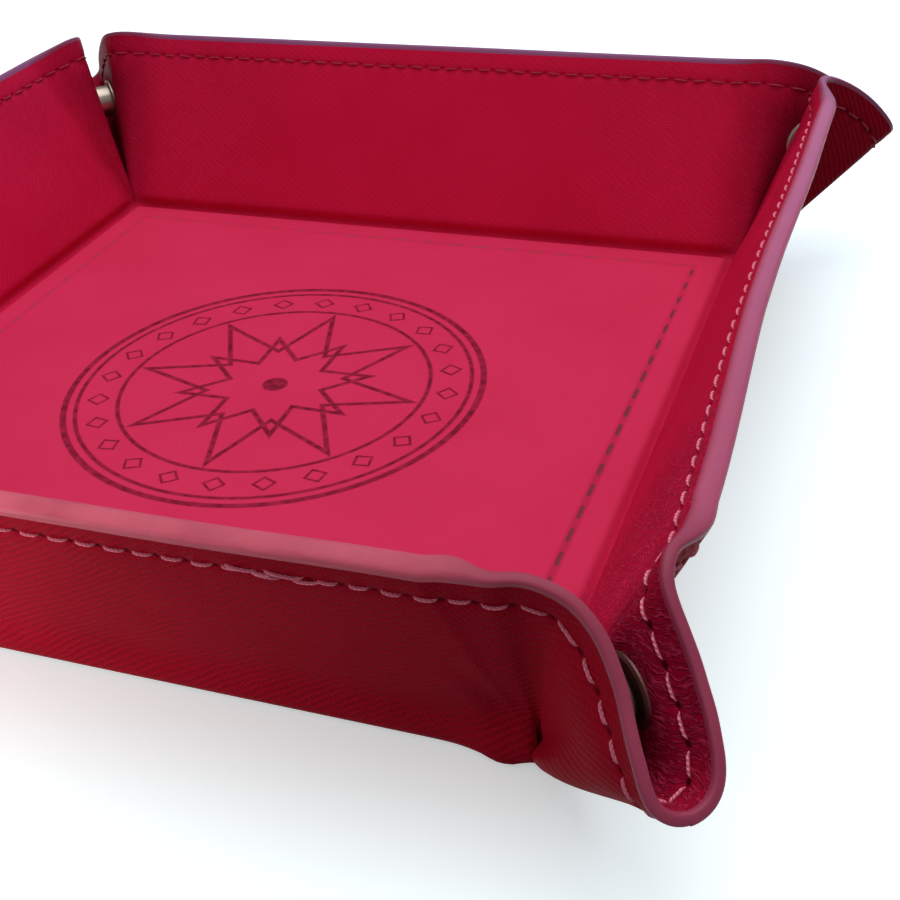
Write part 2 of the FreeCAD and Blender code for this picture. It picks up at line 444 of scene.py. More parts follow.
# The rows of a closed cut through the leather: heights over the fold, from under it
# to the hem, then distances from the sheet's edge, then steps round the edge
fold_rows = [-3.0, -2.6, -2.2, -1.8, -1.44, -0.96, -0.48, 0.0, 0.5]
rises = [1.0, 1.44, 1.9, 2.5, 3.2, 4.2, 5.6, 7.4, 9.6, 12.2, 15, 18, 21, 24, 27, 30, hem]
insets = [6.7, 5.9, 5.35, 5.0, 4.75, 4.5, 4.1, 3.5, 2.7, 2.0]
edge_steps = 7
rim_start = 0.15
rim_roundness = 0.65
wall_columns, bend_columns, loop_columns = 135, 41, 45
panel_end, panel_top = 4.0, 0.4


def build(name, points, faces, materials, slots, uvs, smooth_angle=50):
    mesh = bpy.data.meshes.new(name)
    mesh.from_pydata(points, [], faces)
    for material in materials:
        mesh.materials.append(material)
    mesh.polygons.foreach_set("material_index", slots)
    mesh.polygons.foreach_set("use_smooth", [True] * len(faces))
    corners = np.array([loop.vertex_index for loop in mesh.loops])
    for layer, values in uvs.items():
        data = mesh.uv_layers.new(name=layer).data
        flat = np.array(values, dtype=np.float32)[corners].ravel()
        data.foreach_set("uv", flat)
    mesh.update()
    mesh.set_sharp_from_angle(angle=math.radians(smooth_angle))
    piece = bpy.data.objects.new(name, mesh)
    scene.collection.objects.link(piece)
    return piece


def strip_mesh(columns, parts, flip):
    # Joins closed sections side by side and closes the two ends.
    count = len(parts)
    faces, slots = [], []
    for i in range(columns - 1):
        for j in range(count):
            a, b = i * count + j, i * count + (j + 1) % count
            face = [a, b, b + count, a + count]
            faces.append(face if flip else face[::-1])
            slots.append(parts[j])
    for i, turned in ((0, not flip), (columns - 1, flip)):
        for j in range(count // 2 - 1):
            ring = [i * count + k for k in (j, j + 1, count - 2 - j, count - 1 - j)]
            faces.append(ring if not turned else ring[::-1])
            slots.append(COVER)
    return faces, slots


def rim(thick):
    # The rounded, painted edge: how far out and how far across, side to side.
    depth = 0.45 * thick + rim_start
    rows = []
    for i in range(1, edge_steps * 2):
        turn = math.pi * i / (edge_steps * 2)
        across = math.copysign(abs(math.cos(turn)) ** rim_roundness, math.cos(turn))
        inset = depth - (depth + edge_coat) * math.sin(turn) ** rim_roundness
        rows.append((inset, across))
    return depth, rows


def profile_points(place, thick, low):
    # Up the lining, round the edge and down the cover. Each row is a kind, rise or
    # inset, with its value, the side, and the share of the thickness there.
    depth, rows = rim(thick)
    lining = [("rise", v, 1, 1) for v in low + rises]
    lining += [("inset", v, 1, 1) for v in insets]
    lining += [("inset", depth + rim_start, 1, 1)]
    rounded = [("inset", inset, math.copysign(1, across) if across else 1, abs(across))
               for inset, across in rows]
    cover = [(kind, v, -1, share) for kind, v, _, share in reversed(lining)]
    return [place(*row) for row in lining + rounded + cover]


def profile_parts(low):
    # The material of each row of faces, in the same order.
    side = len(low) + len(rises) + len(insets)
    return [LINING] * side + [EDGE] * (edge_steps * 2) + [COVER] * (side + 1)


def wall_mesh(name, quarters, materials):
    points, sheet, edge = [], [], []
    for column in range(wall_columns):
        share = column / (wall_columns - 1) * 2 - 1

        def place(kind, value, side, part):
            out = value if kind == "rise" else wall_height - value
            x = share * (half_span + (out if out < 0 else out * math.tan(neck_flat)))
            along, inset = edge_place(x, out)
            off = wall_offset(x, out, side) * part
            if kind == "rise" or inset > 1:
                off -= sewn_dip(along, inset)
            point, _ = wall_point(x, out, side, off, quarters)
            sheet.append(turned_xy(x, -half_span - out, quarters))
            edge.append((along, inset))
            return to_world(point, quarters, False)

        x_top = share * (half_span + wall_height * math.tan(neck_flat))
        thick = wall_offset(x_top, wall_height, 1)
        points += profile_points(place, thick, fold_rows)
    faces, slots = strip_mesh(wall_columns, profile_parts(fold_rows), True)
    return build(name, points, faces, materials, slots, {"sheet": sheet, "edge": edge})


def ear_mesh(name, first, last, columns, quarters, mirror, materials):
    points, sheet, edge = [], [], []
    for column in range(columns):
        angle = first + (last - first) * column / (columns - 1)
        far, slope = reach(angle)
        flat = flat_angle(angle)
        pointer, _, normal = ear_frame(angle)

        def place(kind, value, side, part):
            r = far - value / slope
            if kind == "rise":
                r = value / hem * (far - (wall_height - hem) / slope)
            x, out = half_span + r * math.sin(flat), r * math.cos(flat)
            along, inset = edge_place(x, out)
            off = squeezed(angle, r, side, normal, pointer) * part
            if side < 0:
                off += fullness(angle, r, quarters, mirror)
            if inset > 1:
                off -= min(sewn_dip(along, inset), off * 0.5)
            point, _ = ear_point(angle, r, side, off, quarters, mirror)
            sheet.append(turned_xy(-x if mirror else x, -half_span - out, quarters))
            edge.append((along, inset))
            return to_world(point, quarters, mirror)

        points += profile_points(place, ear_thickness(angle, far), [])
    faces, slots = strip_mesh(columns, profile_parts([]), not mirror)
    return build(name, points, faces, materials, slots, {"sheet": sheet, "edge": edge})


def border(columns, rows):
    # The outermost points of a grid, in turn.
    last = columns * rows - 2
    return (list(range(columns)) + [row * columns + columns - 1 for row in range(1, rows)]
            + [last - k for k in range(columns - 1)]
            + [row * columns for row in range(rows - 2, 0, -1)])


def board_mesh(name, quarters):
    # The stiff panel inside a wall, bent as its leather is.
    columns, rows = 25, 9
    thick = half_wall - half_leather
    points = []
    for side in (1, -1):
        for row in range(rows):
            out = wall_height - panel_top - board_setback
            out = board_setback + out * row / (rows - 1)
            length = half_span + out * math.tan(neck_flat)
            length -= panel_end / math.cos(neck_flat)
            for column in range(columns):
                x = (column / (columns - 1) * 2 - 1) * length
                point, _ = wall_point(x, out, side, thick, quarters)
                points.append(to_world(point, quarters, False))
    faces = []
    count = columns * rows
    for row in range(rows - 1):
        for column in range(columns - 1):
            a = row * columns + column
            face = [a, a + 1, a + 1 + columns, a + columns]
            faces.append(face)
            faces.append([count + k for k in face[::-1]])
    ring = border(columns, rows)
    for a, b in zip(ring, ring[1:] + ring[:1]):
        faces.append([b, a, count + a, count + b])
    place = [(p.x / MM, p.y / MM) for p in points]
    return build(name, points, faces, [fibre], [0] * len(faces), {"sheet": place})


stitch_steps, dash_steps, rounds = 8, 6, 8
# A stitch's depth in the leather, how far its middle rises and its ends dive
stitch_bed, stitch_rise, stitch_dive = 0.14, 0.24, 0.4
stitch_half_height = 0.24


def bar_faces(steps, outward):
    # The faces of a closed bar, a ring of points at each step.
    faces = []
    for i in range(steps):
        for k in range(rounds):
            a, b = i * rounds + k, i * rounds + (k + 1) % rounds
            face = [a, b, b + rounds, a + rounds]
            faces.append(face if outward else face[:1] + face[:0:-1])
    ends = [list(range(rounds))[::-1], [steps * rounds + k for k in range(rounds)]]
    return faces + (ends if outward else [end[::-1] for end in ends])


def thread(centre, inset, side, quarters, mirror, length, lift, slant):
    # One stitch between two needle holes: a rounded bar whose ends dive in.
    def on_hem(run, inset, height):
        return sheet_place(*hem_point(run, inset), side, height, quarters, mirror)

    points = []
    for i in range(stitch_steps + 1):
        share = i / stitch_steps * 2 - 1
        run = centre + share * length / 2
        sunk = abs(share) ** 3
        height = (half_leather - stitch_bed + (stitch_rise + lift) * (1 - sunk)
                  - stitch_dive * sunk ** 2)
        point, normal, _ = on_hem(run, inset + slant * share, height)
        ahead = on_hem(run + 0.05, inset, height)[0] - on_hem(run, inset, height)[0]
        across = np.cross(ahead / np.linalg.norm(ahead), normal)
        thin = math.sqrt(max(1 - abs(share) ** 4, 0.05))
        for k in range(rounds):
            turn = 2 * math.pi * k / rounds
            spot = point + across * math.cos(turn) * stitch_width / 2 * thin
            spot = spot + normal * math.sin(turn) * stitch_half_height * thin
            points.append(to_world(spot, quarters, mirror))
    faces = bar_faces(stitch_steps, True)
    if mirror:
        faces = [face[::-1] for face in faces]
    uv = [(i / stitch_steps * length, k / rounds * 2)
          for i in range(stitch_steps + 1) for k in range(rounds)]
    return points, faces, uv


def sewing(name, threads, material):
    # Joins stitches into one piece.
    points, faces, uvs = [], [], []
    for more_points, more_faces, more_uv in threads:
        first = len(points)
        points += more_points
        faces += [[first + k for k in face] for face in more_faces]
        uvs += more_uv
    return build(name, points, faces, [material], [0] * len(faces), {"run": uvs}, 80)


# ---- materials ----

class Graph:
    # A small helper that builds shader nodes from plain arithmetic.
    def __init__(self, name):
        self.material = bpy.data.materials.new(name)
        self.material.use_nodes = True
        self.nodes = self.material.node_tree.nodes
        self.links = self.material.node_tree.links
        self.shader = self.nodes["Principled BSDF"]

    def put(self, socket, value):
        if isinstance(value, Wire):
            self.links.new(value.socket, socket)
        else:
            socket.default_value = value

    def math(self, operation, *values, kind="ShaderNodeMath"):
        node = self.nodes.new(kind)
        node.operation = operation
        for socket, value in zip(node.inputs, values):
            self.put(socket, value)
        return Wire(self, node.outputs[0])

    def vector(self, operation, *values):
        return self.math(operation, *values, kind="ShaderNodeVectorMath")

    def uv(self, name):
        node = self.nodes.new("ShaderNodeUVMap")
        node.uv_map = name
        return Wire(self, node.outputs[0])

    def place(self):
        node = self.nodes.new("ShaderNodeTexCoord")
        return Wire(self, node.outputs["Object"])

    def scaled(self, vector, scale):
        return self.vector("MULTIPLY", vector, scale)

    def warped(self, vector, scale, amount):
        drift = self.noise(vector, scale, 2, colour=True)
        drift = self.vector("SUBTRACT", drift, (0.5, 0.5, 0.5))
        return self.vector("ADD", vector, self.scaled(drift, (amount, amount, 0)))

    def split(self, vector):
        node = self.nodes.new("ShaderNodeSeparateXYZ")
        self.put(node.inputs[0], vector)
        return [Wire(self, output) for output in node.outputs]

    def noise(self, vector, scale=1.0, detail=2.0, rough=0.5, colour=False):
        node = self.nodes.new("ShaderNodeTexNoise")
        self.put(node.inputs["Vector"], vector)
        node.inputs["Scale"].default_value = scale
        node.inputs["Detail"].default_value = detail
        node.inputs["Roughness"].default_value = rough
        return Wire(self, node.outputs["Color" if colour else "Fac"])

    def ramp(self, value, low, high):
        node = self.nodes.new("ShaderNodeMapRange")
        node.interpolation_type = "SMOOTHSTEP"
        self.put(node.inputs["Value"], value)
        node.inputs["From Min"].default_value = low
        node.inputs["From Max"].default_value = high
        return Wire(self, node.outputs[0])

    def mix(self, share, first, second):
        node = self.nodes.new("ShaderNodeMix")
        node.data_type = "RGBA"
        self.put(node.inputs[0], share)
        self.put(node.inputs[6], first)
        self.put(node.inputs[7], second)
        return Wire(self, node.outputs[2])

    def bump(self, height, distance):
        node = self.nodes.new("ShaderNodeBump")
        node.inputs["Strength"].default_value = 1.0
        node.inputs["Distance"].default_value = distance
        self.put(node.inputs["Height"], height)
        self.links.new(node.outputs[0], self.shader.inputs["Normal"])

    def set(self, **values):
        for name, value in values.items():
            self.put(self.shader.inputs[name.replace("_", " ")], value)


class Wire:
    def __init__(self, graph, socket):
        self.graph = graph
        self.socket = socket

    def __add__(self, other):
        return self.graph.math("ADD", self, other)

    def __sub__(self, other):
        return self.graph.math("SUBTRACT", self, other)

    def __mul__(self, other):
        return self.graph.math("MULTIPLY", self, other)


def srgb(red, green, blue):
    def linear(value):
        value /= 255
        return value / 12.92 if value <= 0.04045 else ((value + 0.055) / 1.055) ** 2.4
    return (linear(red), linear(green), linear(blue), 1)


def crosshatch(g, sheet):
    # The pressed grain: fine ridges that run slantwise over the sheet, broken into
    # beads by a fainter set across them.
    x, y, _ = g.split(g.warped(g.warped(sheet, 0.05, 3.0), 0.35, 0.7))
    ridge = g.math("PINGPONG", x * grain_x + y * grain_y, ridge_pitch / 2)
    ridge = g.ramp(ridge, 0.04, ridge_pitch / 2)
    bead = g.math("PINGPONG", x * grain_y - y * grain_x, bead_pitch / 2)
    bead = g.ramp(bead, 0.02, bead_pitch / 2)
    return ridge * (bead * 0.38 + 0.62) + bead * 0.16


def bark(g, sheet):
    # Fine raised creases that run along a corner's diagonal, wavy and branching.
    x, y, _ = g.split(g.warped(g.warped(sheet, 0.11, 6.0), 0.5, 0.9))
    node = g.nodes.new("ShaderNodeCombineXYZ")
    g.put(node.inputs[0], (x - y) * 0.2)
    g.put(node.inputs[1], (x + y) * 1.25)
    lines = g.noise(Wire(g, node.outputs[0]), 1, 2.0, 0.5)
    return g.ramp(g.math("ABSOLUTE", lines - 0.5), 0.075, 0.0)


def needle_holes(g):
    # Nearness to a needle hole on the hem and to its line, from one down to nothing.
    along, inset, _ = g.split(g.uv("edge"))
    run = g.math("PINGPONG", along, stitch_pitch / 2)
    spot = g.math("SQRT", run * run + (inset - stitch_inset) * (inset - stitch_inset))
    off = g.math("ABSOLUTE", inset - stitch_inset)
    return g.ramp(spot, hole_edge, stitch_core), g.ramp(off, groove_edge, stitch_core)


def cover_leather(name):
    # The outer leather: pressed grain, clouded, painted darker than the lining as the
    # shade on its down-facing outside, with painted shade along the hem's line and in
    # the needle holes.
    g = Graph(name)
    sheet = g.uv("sheet")
    grain = crosshatch(g, sheet)
    fine = g.noise(sheet, 2.6, 3, 0.6)
    hole, groove = needle_holes(g)
    cloud = g.ramp(g.noise(sheet, 0.045, 3), 0.3, 0.75)
    base = g.mix(cloud * 0.5, cover_bright, cover_deep)
    base = g.mix(g.math("SUBTRACT", 1.0, grain) * 0.16, base, cover_valley)
    # Painted shade in the hem's groove and in the needle holes.
    base = g.mix(groove * 0.2, base, cover_valley)
    base = g.mix(hole * 0.6, base, cover_hole_shade)
    g.set(Base_Color=base, Roughness=fine * 0.16 + 0.42)
    g.shader.inputs["Specular IOR Level"].default_value = 0.012
    g.bump(grain + fine * 0.24 - hole * 2.0, 0.00009)
    return g.material


def edge_paint(name):
    # Matt paint in streaks, with painted light: a mauve tint on the right and a violet
    # tint far off stand for coloured light falling there, and the darker paint round
    # the ears is painted shade.
    g = Graph(name)
    edge = g.uv("edge")
    streaks = g.noise(g.scaled(edge, (0.12, 1.6, 1)), 1, 3, 0.6)
    blots = g.noise(g.uv("sheet"), 0.16, 3)
    fine = g.noise(g.uv("sheet"), 2.2, 2)
    x, y, _ = g.split(g.uv("sheet"))
    along, _, _ = g.split(edge)
    colour = g.mix(g.ramp(streaks, 0.3, 0.7), paint_dark, paint_light)
    colour = g.mix(g.ramp(blots, 0.5, 0.8) * 0.3, colour, paint_blot)
    # Painted light: mauve where the right side is lit, violet where the far sides catch
    # bluish light, painted shade round the ears.
    away = g.math("MAXIMUM", g.ramp(y, 60, 100), g.ramp(x, -60, -100))
    colour = g.mix(g.ramp(x, 60, 100) * 0.8, colour, paint_lit_mauve)
    colour = g.mix(away * 0.75, colour, paint_lit_violet)
    colour = g.mix(g.ramp(along, 64, 76) * 0.6, colour, paint_ear_shade)
    g.set(Base_Color=colour, Roughness=fine * 0.2 + 0.36)
    g.shader.inputs["Specular IOR Level"].default_value = 0.2
    g.bump(streaks * 0.4 + fine * 0.2, 0.00008)
    return g.material


def thread_material(name, colour, dark):
    # Twisted plies, a little fuzzy.
    g = Graph(name)
    along, about, _ = g.split(g.uv("run"))
    ply = g.math("PINGPONG", along * 1.7 + about * 1.0, 0.5)
    fuzz = g.noise(g.place(), 9000, 2)
    colour = g.mix(g.ramp(ply, 0.1, 0.45), dark, colour)
    g.set(Base_Color=colour, Roughness=0.62)
    g.bump(ply * 1.2 + fuzz * 0.3, 0.00015)
    return g.material


# The ornament: each ring's radius and half its line's width, each star's points,
# outer and inner radius and turn, then the lozenges and the dot
rings = ((39.5, 0.5), (37.3, 0.3), (29.5, 0.3))
stars = ((8, 27.5, 13.0, 0.0), (8, 18.0, 9.5, 0.5))
star_line = 0.38
lozenge_count, lozenge_ring, lozenge_size, lozenge_line = 24, 33.4, 1.9, 0.22
centre_dot = (2.6, 2.2)


def engraved(g, sheet):
    # Two stars within rings, with a chain of small lozenges: plain ornament burnt
    # in as thin dark lines.
    x, y, _ = g.split(sheet)
    radius = g.math("SQRT", x * x + y * y)
    angle = g.math("ARCTAN2", y, x)

    def line(distance, half_width):
        return g.ramp(g.math("ABSOLUTE", distance), half_width + 0.28, half_width - 0.12)

    def either(*parts):
        whole = parts[0]
        for part in parts[1:]:
            whole = g.math("MAXIMUM", whole, part)
        return whole

    marks = [line(radius - size, width) for size, width in rings]
    for points, outer, inner, phase in stars:
        half = math.pi / points
        folded = g.math("PINGPONG", angle + (2 * math.pi + phase * 2 * half), half)
        u, v = radius * g.math("COSINE", folded), radius * g.math("SINE", folded)
        tip = np.array([outer, 0.0])
        notch = np.array([inner * math.cos(half), inner * math.sin(half)])
        normal = np.array([-(notch - tip)[1], (notch - tip)[0]])
        normal = normal / np.linalg.norm(normal)
        distance = u * float(normal[0]) + v * float(normal[1]) - float(normal @ tip)
        marks.append(line(distance, star_line))
    half = math.pi / lozenge_count
    folded = g.math("PINGPONG", angle + (2 * math.pi + half), half)
    lozenge = folded * radius + g.math("ABSOLUTE", radius - lozenge_ring)
    marks.append(line(lozenge - lozenge_size, lozenge_line))
    marks.append(g.ramp(radius, *centre_dot))
    return either(*marks)


def lining_leather(name):
    # The same leather on the base and up the walls: smooth on the base, where the
    # ornament and the border seam are, and creased where it bends near the ears.
    # It carries painted light: a deeper red on the walls, painted shade inside the
    # ears and in the hem's groove and needle holes, and painted highlights on the
    # creases.
    g = Graph(name)
    sheet, edge = g.uv("sheet"), g.uv("edge")
    x, y, _ = g.split(sheet)
    along, inset, _ = g.split(edge)
    far = g.math("MAXIMUM", g.math("ABSOLUTE", x), g.math("ABSOLUTE", y))
    on_wall = g.ramp(far, 70.5, 74.5)
    # Only the front right ear is drawn up hard enough to crease.
    bent = g.ramp(along, 28, 54) * on_wall * (g.ramp(x - y, 40, 110) * 0.85 + 0.15)
    grain = crosshatch(g, sheet)
    creases = bark(g, sheet)
    fine = g.noise(sheet, 2.6, 3, 0.6)
    hole, groove = needle_holes(g)
    cloud = g.ramp(g.noise(sheet, 0.04, 3), 0.3, 0.75)
    base = g.mix(cloud * 0.6, lining_bright, lining_deep)
    # Painted light: the walls' lining is a deeper red than the base's, standing for the
    # red light bounced between the walls.
    wall = g.mix(cloud * 0.6, wall_bright, wall_deep)
    base = g.mix(on_wall, base, wall)
    # Painted shade: the lining is darker inside each ear, and darker still deep inside
    # it.
    pocket = g.ramp(along, 66, 84) * on_wall
    base = g.mix(pocket * 0.55, base, pocket_shade)
    base = g.mix(pocket * g.ramp(inset, 5.5, 11) * 0.4, base, pocket_deep_shade)
    # Painted highlight: the creases' ridges are lighter, as if they catch the light.
    base = g.mix(creases * bent * 0.5, base, crease_highlight)
    base = g.mix(fine * 0.12, base, wall_valley)
    burnt = engraved(g, sheet)
    worn = g.ramp(g.noise(sheet, 0.55, 3), 0.25, 0.75) * 0.4 + 0.5
    base = g.mix(burnt * worn, base, burnt_brown)
    seam = g.ramp(g.math("ABSOLUTE", far - seam_place), 1.15, 0.25)
    # The seam and the needle holes show less on the far sides.
    base = g.mix(seam * (g.ramp(x - y * 0.3, 30, 80) * 0.32 + 0.1), base, seam_shade)
    # Painted shade in the hem's groove and in the needle holes.
    base = g.mix(groove * 0.2, base, wall_valley)
    near = g.ramp(x - y, -40, 100)
    base = g.mix(hole * (near * 0.6 + 0.2), base, lining_hole_shade)
    g.set(Base_Color=base, Roughness=fine * 0.14 + 0.4)
    g.shader.inputs["Specular IOR Level"].default_value = 0.03
    relief = creases * (bent * 1.3 + 0.04) + grain * (on_wall * 0.14 + 0.04) + fine * 0.14
    g.bump(relief - burnt * 0.7 - hole * 1.6, 0.00018)
    return g.material


def metal(name, dark, bright, rough):
    g = Graph(name)
    worn = g.noise(g.place(), 900, 3)
    colour = g.mix(worn, dark, bright)
    g.set(Base_Color=colour, Metallic=1.0, Roughness=worn * 0.2 + rough)
    g.bump(worn, 0.00003)
    return g.material


def plain(name, colour, rough):
    g = Graph(name)
    spots = g.noise(g.place(), 600, 3)
    g.set(Base_Color=g.mix(spots, colour, tuple(0.7 * c for c in colour[:3]) + (1,)),
          Roughness=rough)
    g.bump(spots, 0.0001)
    return g.material


lining_bright, lining_deep = srgb(214, 50, 90), srgb(206, 43, 82)
# Painted light: a deeper red than the base's lining, for light bounced between the walls.
wall_bright, wall_deep = srgb(210, 26, 72), srgb(196, 18, 60)
wall_valley = srgb(150, 4, 38)
# Painted shade: the cover is darker than the lining, for the shade on its down-facing
# outside.
cover_bright, cover_deep = srgb(172, 18, 42), srgb(150, 11, 32)
cover_valley = srgb(104, 2, 20)
# Painted shade in the needle holes.
cover_hole_shade, lining_hole_shade = srgb(40, 0, 10), srgb(50, 0, 14)
# Painted shade inside the ears.
pocket_shade, pocket_deep_shade = srgb(118, 2, 32), srgb(80, 0, 22)
# Painted highlight on the creases' ridges.
crease_highlight = srgb(226, 66, 110)
burnt_brown, seam_shade = srgb(92, 12, 34), srgb(150, 16, 50)
paint_dark, paint_light = srgb(190, 78, 98), srgb(206, 90, 110)
# Painted light: the mauve tint on the right and the violet tint far off stand for
# coloured light, and the dark tint round the ears is painted shade.
paint_blot, paint_lit_mauve = srgb(216, 104, 124), srgb(176, 78, 112)
paint_lit_violet, paint_ear_shade = srgb(112, 78, 128), srgb(134, 40, 62)
# The grain's direction and pitches, and how near a hole or the hem's line is marked
grain_x, grain_y = 0.56, 0.83
ridge_pitch, bead_pitch = 1.05, 0.82
hole_edge, groove_edge, stitch_core = 0.62, 1.1, 0.2
lining = lining_leather("lining")
cover = cover_leather("cover")
paint = edge_paint("edge_paint")
# Painted light: the lighter thread stands for thread that is lit, the darker one for
# thread in shade.
thread_lit = thread_material("thread", srgb(255, 160, 182), srgb(242, 100, 132))
thread_shaded = thread_material("thread_shaded", srgb(184, 38, 76), srgb(156, 20, 54))
thread_dark = thread_material("seam_thread", srgb(126, 18, 46), srgb(112, 12, 38))
thread_faint = thread_material("seam_thread_faint", srgb(188, 36, 76), srgb(174, 28, 66))
nickel = metal("nickel", srgb(168, 154, 140), srgb(204, 192, 178), 0.3)
# A darker copy of the nickel, as painted shade for the snaps deep in an ear.
shaded_nickel = metal("shaded_nickel", srgb(96, 66, 62), srgb(128, 92, 86), 0.42)
fibre = plain("fibreboard", srgb(196, 178, 150), 0.85)
wall_skins = [lining, cover, paint]


# ---- walls, ears and their sewing ----

fold_ahead = np.array([0, -0.837, 0.548])
fold_length = 3.2


def fold_blend(piece, quarters):
    # Works out the line across the fold from the base board's edge, which is not used
    # further, and bakes the piece's placing into its mesh.
    low = np.array([0, board_setback - half_span, 2 * half_wall])
    high = low + fold_ahead * fold_length
    to_world(low, quarters, False)
    to_world(high, quarters, False)
    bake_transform(piece)


def ear_blend(piece, a, b, angle, before, after, quarters, mirror):
    # Works out the line at this angle round the base corner across which the piece
    # would bend, which is not used further, and bakes the piece's placing into its mesh.
    _, heading, _ = ear_frame(angle)
    corner = np.array([half_span, -half_span, half_wall])
    start, end = corner - heading * before, corner + heading * after
    to_world(start, quarters, mirror)
    to_world(end, quarters, mirror)
    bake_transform(piece)


# Where an ear bends: the angle, and how far before and after that line it does so
at_bend, at_ridge = (8.0, 3.0, 3.0), (ridge, 4.5, 0.0)
stray_lift = 0.12
# How far a stitch strays from its place along and across, in length, lift and slant
scatter = [(-0.12, 0.12), (-0.1, 0.1), (-0.35, 0.2), (-0.03, 0.05), (-0.14, 0.14)]
# Extra strands where the front wall's hem was sewn over twice: run, inset, slant
# and length
strays = [(43.2, -0.5, 0.3, 4.6), (46.2, 0.35, 0.35, 4.4), (48.6, -0.35, 0.4, 5.6),
          (51.4, 0.4, -0.25, 4.2)]

for quarters, quarter in enumerate(quarter_names):
    wall_body = quarter + "_wall"
    wall = wall_mesh(quarter + "_wall_leather", quarters, wall_skins)
    fold_blend(wall, quarters)
    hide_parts(quarter + "_wall_cover", quarter + "_wall_lining",
                quarter + "_crease")
    panel = board_mesh(quarter + "_wall_panel", quarters)
    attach(panel, wall_body)
    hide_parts(quarter + "_wall_board")
    wall_threads = []
    for mirror in (False, True):
        neighbour = quarter_names[(quarters + (3 if mirror else 1)) % 4]
        half = quarter + "_" + neighbour
        bend = ear_mesh(half + "_bend_leather", neck_start, piece_split, bend_columns,
                        quarters, mirror, wall_skins)
        ear_blend(bend, wall_body, half + "_flap", *at_bend, quarters, mirror)
        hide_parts(half + "_bend", half + "_flap")
        loop = ear_mesh(half + "_loop_leather", piece_split, ridge, loop_columns,
                        quarters, mirror, wall_skins)
        ear_blend(loop, half + "_flap", half + "_loop", *at_ridge, quarters, mirror)
        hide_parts(half + "_loop")
        bend_threads, loop_threads = [], []
        for i in range(hem_stitches):
            centre = (i + 0.5) * stitch_pitch
            spot = hem_point(centre, stitch_inset)
            angle = sheet_place(*spot, 1, 1, quarters, mirror)[2]
            for side in (1, -1):
                run, inset, length, lift, slant = [rng.uniform(*span) for span in scatter]
                made = thread(centre + run, stitch_inset + inset, side, quarters, mirror,
                              stitch_length + length, lift, slant)
                if angle < neck_start:
                    wall_threads.append(made)
                elif angle < piece_split:
                    bend_threads.append(made)
                else:
                    loop_threads.append(made)
        if quarters == 0 and not mirror:
            for run, aside, slant, length in strays:
                wall_threads.append(thread(run, stitch_inset + aside, -1, quarters,
                                           mirror, length, stray_lift, slant))
        # Painted light: the thread is lighter at the front and the right, as if lit, and
        # darker at the back and the left, as if in shade.
        ear_strand = thread_lit if quarters < 2 and "back" not in half else thread_shaded
        sewn = sewing(half + "_bend_stitching", bend_threads, ear_strand)
        ear_blend(sewn, wall_body, half + "_flap", *at_bend, quarters, mirror)
        sewn = sewing(half + "_loop_stitching", loop_threads, ear_strand)
        ear_blend(sewn, half + "_flap", half + "_loop", *at_ridge, quarters, mirror)
    wall_strand = thread_lit if quarters < 2 else thread_shaded
    sewn = sewing(quarter + "_wall_stitching", wall_threads, wall_strand)
    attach(sewn, wall_body)


# ---- base ----

seam_dip, base_wave = 0.12, 0.1
seam_dip_width = 1.1
base_inset = 30.0


def base_mesh():
    # The slab between the folds, its lining a little padded and drawn in at the
    # border seam.
    half = half_span - board_setback
    count = 96
    places = [half * (i / (count - 1) * 2 - 1) for i in range(count)]
    points, sheet = [], []
    for top in (True, False):
        for y in places:
            for x in places:
                far = max(abs(x), abs(y))
                dip = seam_dip * math.exp(-((far - seam_place) / seam_dip_width) ** 2)
                wave = base_wave * math.sin(x / 19 + 0.7) * math.cos(y / 23)
                wave *= rise(far, half, half - 10)
                z = 2 * half_wall - dip + wave if top else 0.0
                points.append(Vector((x * MM, y * MM, z * MM)))
                sheet.append((x, y))
    faces, slots = [], []
    for layer in (0, 1):
        first = layer * count * count
        for j in range(count - 1):
            for i in range(count - 1):
                a = first + j * count + i
                face = [a, a + 1, a + 1 + count, a + count]
                faces.append(face if layer == 0 else face[::-1])
                slots.append(layer)
    under = count * count
    ring = border(count, count)
    for a, b in zip(ring, ring[1:] + ring[:1]):
        faces.append([a, under + a, under + b, b])
        slots.append(1)
    return build("base_leather", points, faces, [lining, cover], slots,
                 {"sheet": sheet, "edge": [(0.0, base_inset)] * len(sheet)})


slab = base_mesh()
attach(slab, "base")
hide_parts("base_cover", "base_lining")

dash_length, dash_width, dash_half_height = 5.1, 0.82, 0.16
dash_bed, dash_dive, dash_scatter = 0.16, 0.12, 0.35


def seam_dash(centre, quarters):
    # A sunk, flattened stitch of the base's border seam.
    length = dash_length + rng.uniform(-dash_scatter, dash_scatter)
    points, uv = [], []
    for i in range(dash_steps + 1):
        share = i / dash_steps * 2 - 1
        thin = math.sqrt(max(1 - abs(share) ** 4, 0.04))
        height = 2 * half_wall - dash_bed - dash_dive * abs(share) ** 3
        for k in range(rounds):
            turn = 2 * math.pi * k / rounds
            spot = (centre + share * length / 2,
                    -seam_place + math.cos(turn) * dash_width / 2 * thin,
                    height + math.sin(turn) * dash_half_height * thin)
            points.append(to_world(spot, quarters, False))
            uv.append((share * length / 2, k / rounds * 2))
    return points, bar_faces(dash_steps, False), uv


dash_count = 21
dash_pitch = 2 * seam_place / dash_count
for name, sides, strand in (("base_border_seam", (0, 1), thread_dark),
                            ("base_border_seam_far", (2, 3), thread_faint)):
    dashes = [seam_dash(-seam_place + (i + 0.5) * dash_pitch, quarters)
              for quarters in sides for i in range(dash_count)]
    seam = sewing(name, dashes, strand)
    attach(seam, "base")


# ---- pieces kept from the CAD ----

